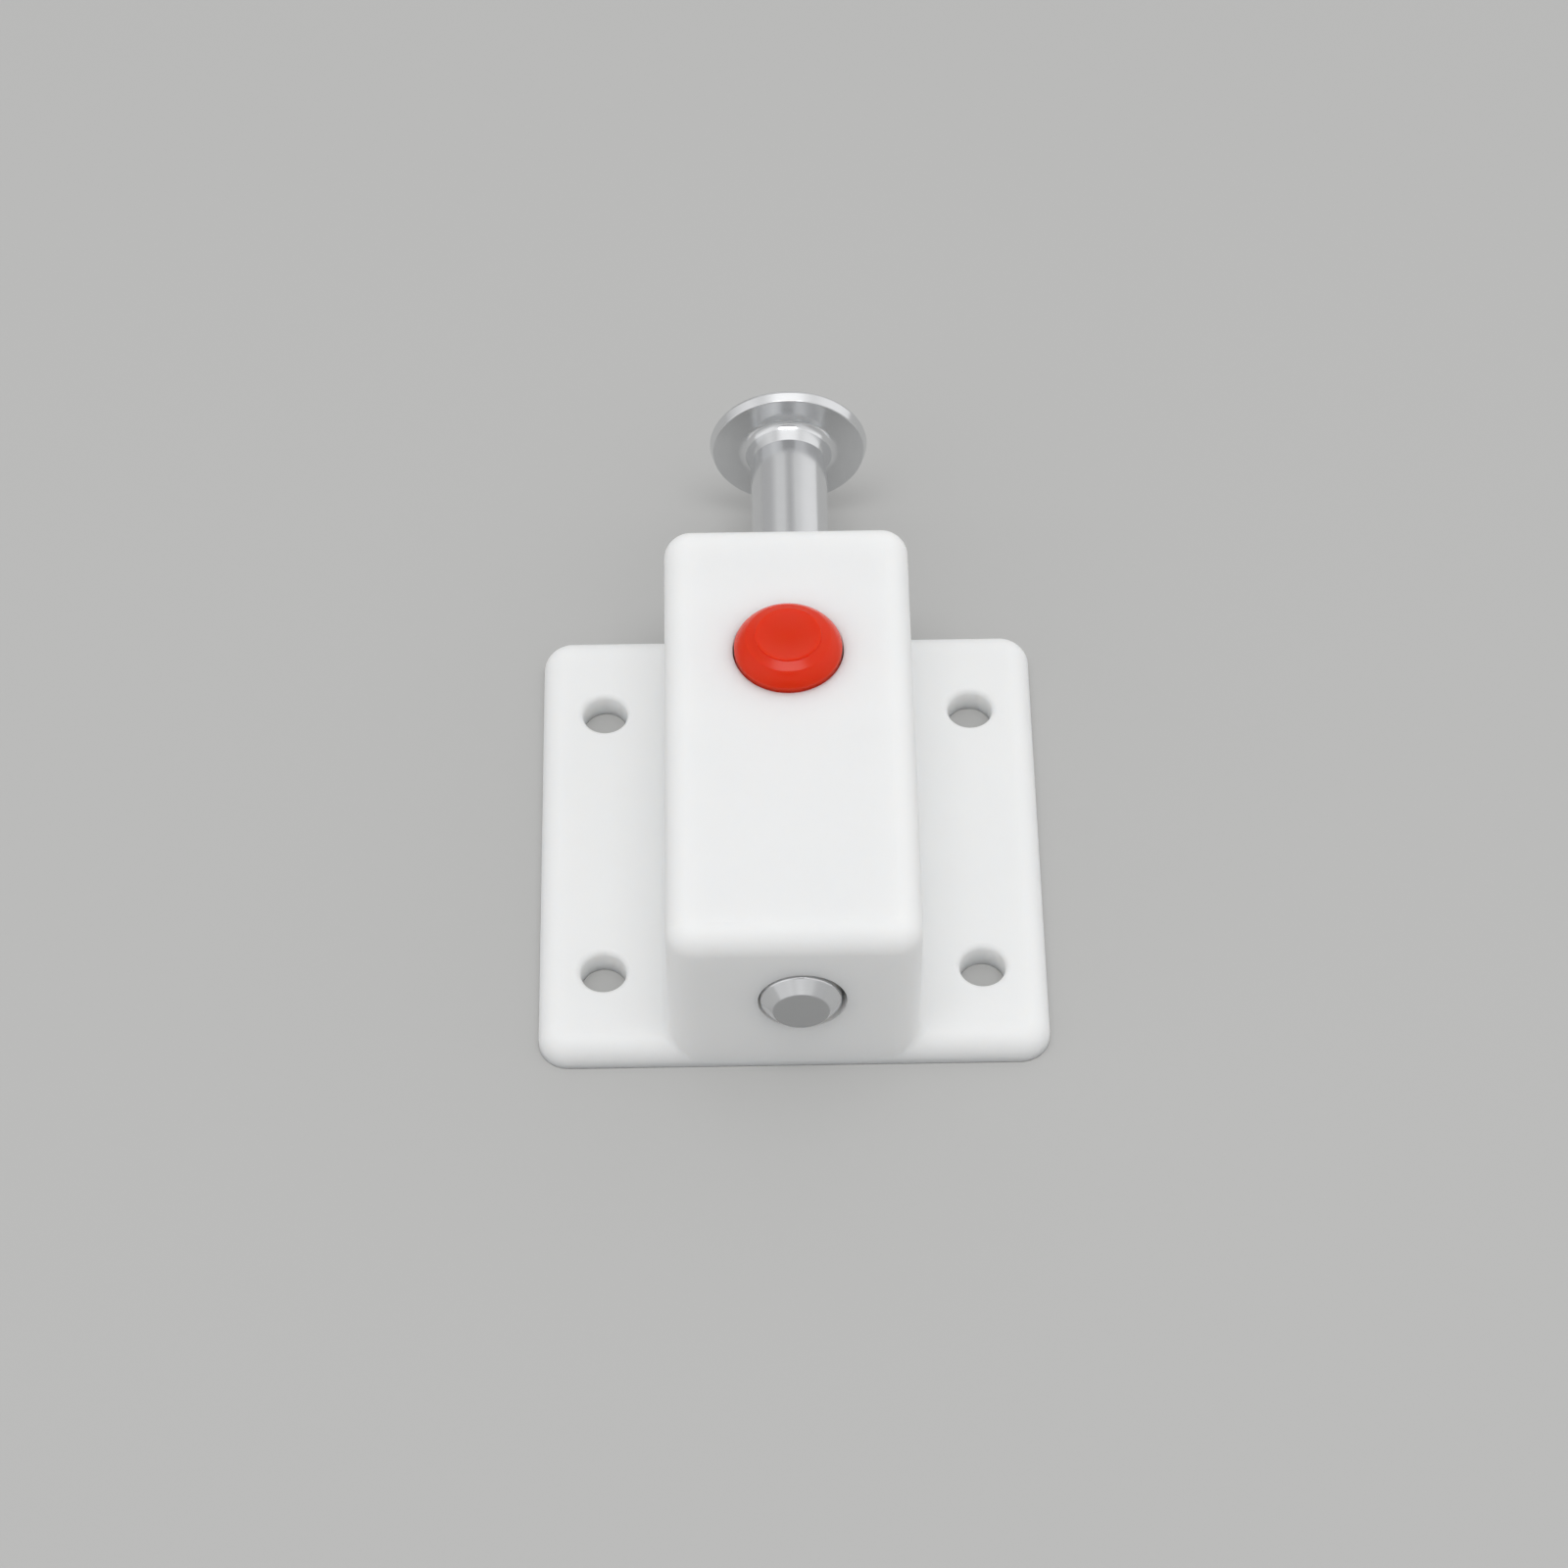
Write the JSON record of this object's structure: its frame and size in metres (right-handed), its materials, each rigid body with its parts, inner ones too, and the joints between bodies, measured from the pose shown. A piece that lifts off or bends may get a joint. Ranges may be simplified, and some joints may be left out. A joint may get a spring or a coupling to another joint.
{
  "type": "spring latch",
  "caption": "White surface-mounted spring latch with a flanged steel push bolt through a moulded housing and a red dished button that lets the bolt spring back.",
  "frame": {"origin": "middle of the four screw holes, on the mounting face", "axes": "+Z out of the mounting face towards the button, Y along the bolt with its nose to -Y and its head to +Y, X across"},
  "size_m": [0.05, 0.0723, 0.0232],
  "materials": {
    "white_plastic": "satin moulded",
    "red_plastic": "satin moulded",
    "plated_steel": "bright zinc plated",
    "spring_steel": "drawn, plain"
  },
  "bodies": {
    "housing": {"housing": "white_plastic", "back_cover": "white_plastic", "return_spring": "spring_steel", "button_spring": "spring_steel"},
    "carriage": {"thrust_washer": "plated_steel"},
    "bolt": {"bolt": "plated_steel", "retaining_clip": "spring_steel"},
    "button": {"push_button": "red_plastic"}
  },
  "joints": [
    {"name": "bolt_slide", "type": "slide", "parent": "housing", "child": "carriage", "axis": [0, -1, 0], "range_m": [0, 0.0135], "stiffness_N_per_m": 300, "springref_m": -0.01, "deforming": ["return_spring"]},
    {"name": "bolt_turn", "type": "hinge", "parent": "carriage", "child": "bolt", "pos_m": [0.0006, 0, 0.0108], "axis": [0, 1, 0], "continuous": true},
    {"name": "button_press", "type": "slide", "parent": "housing", "child": "button", "axis": [0, 0, -1], "range_m": [0, 0.0015], "stiffness_N_per_m": 600, "springref_m": -0.0015, "deforming": ["button_spring"]}
  ]
}
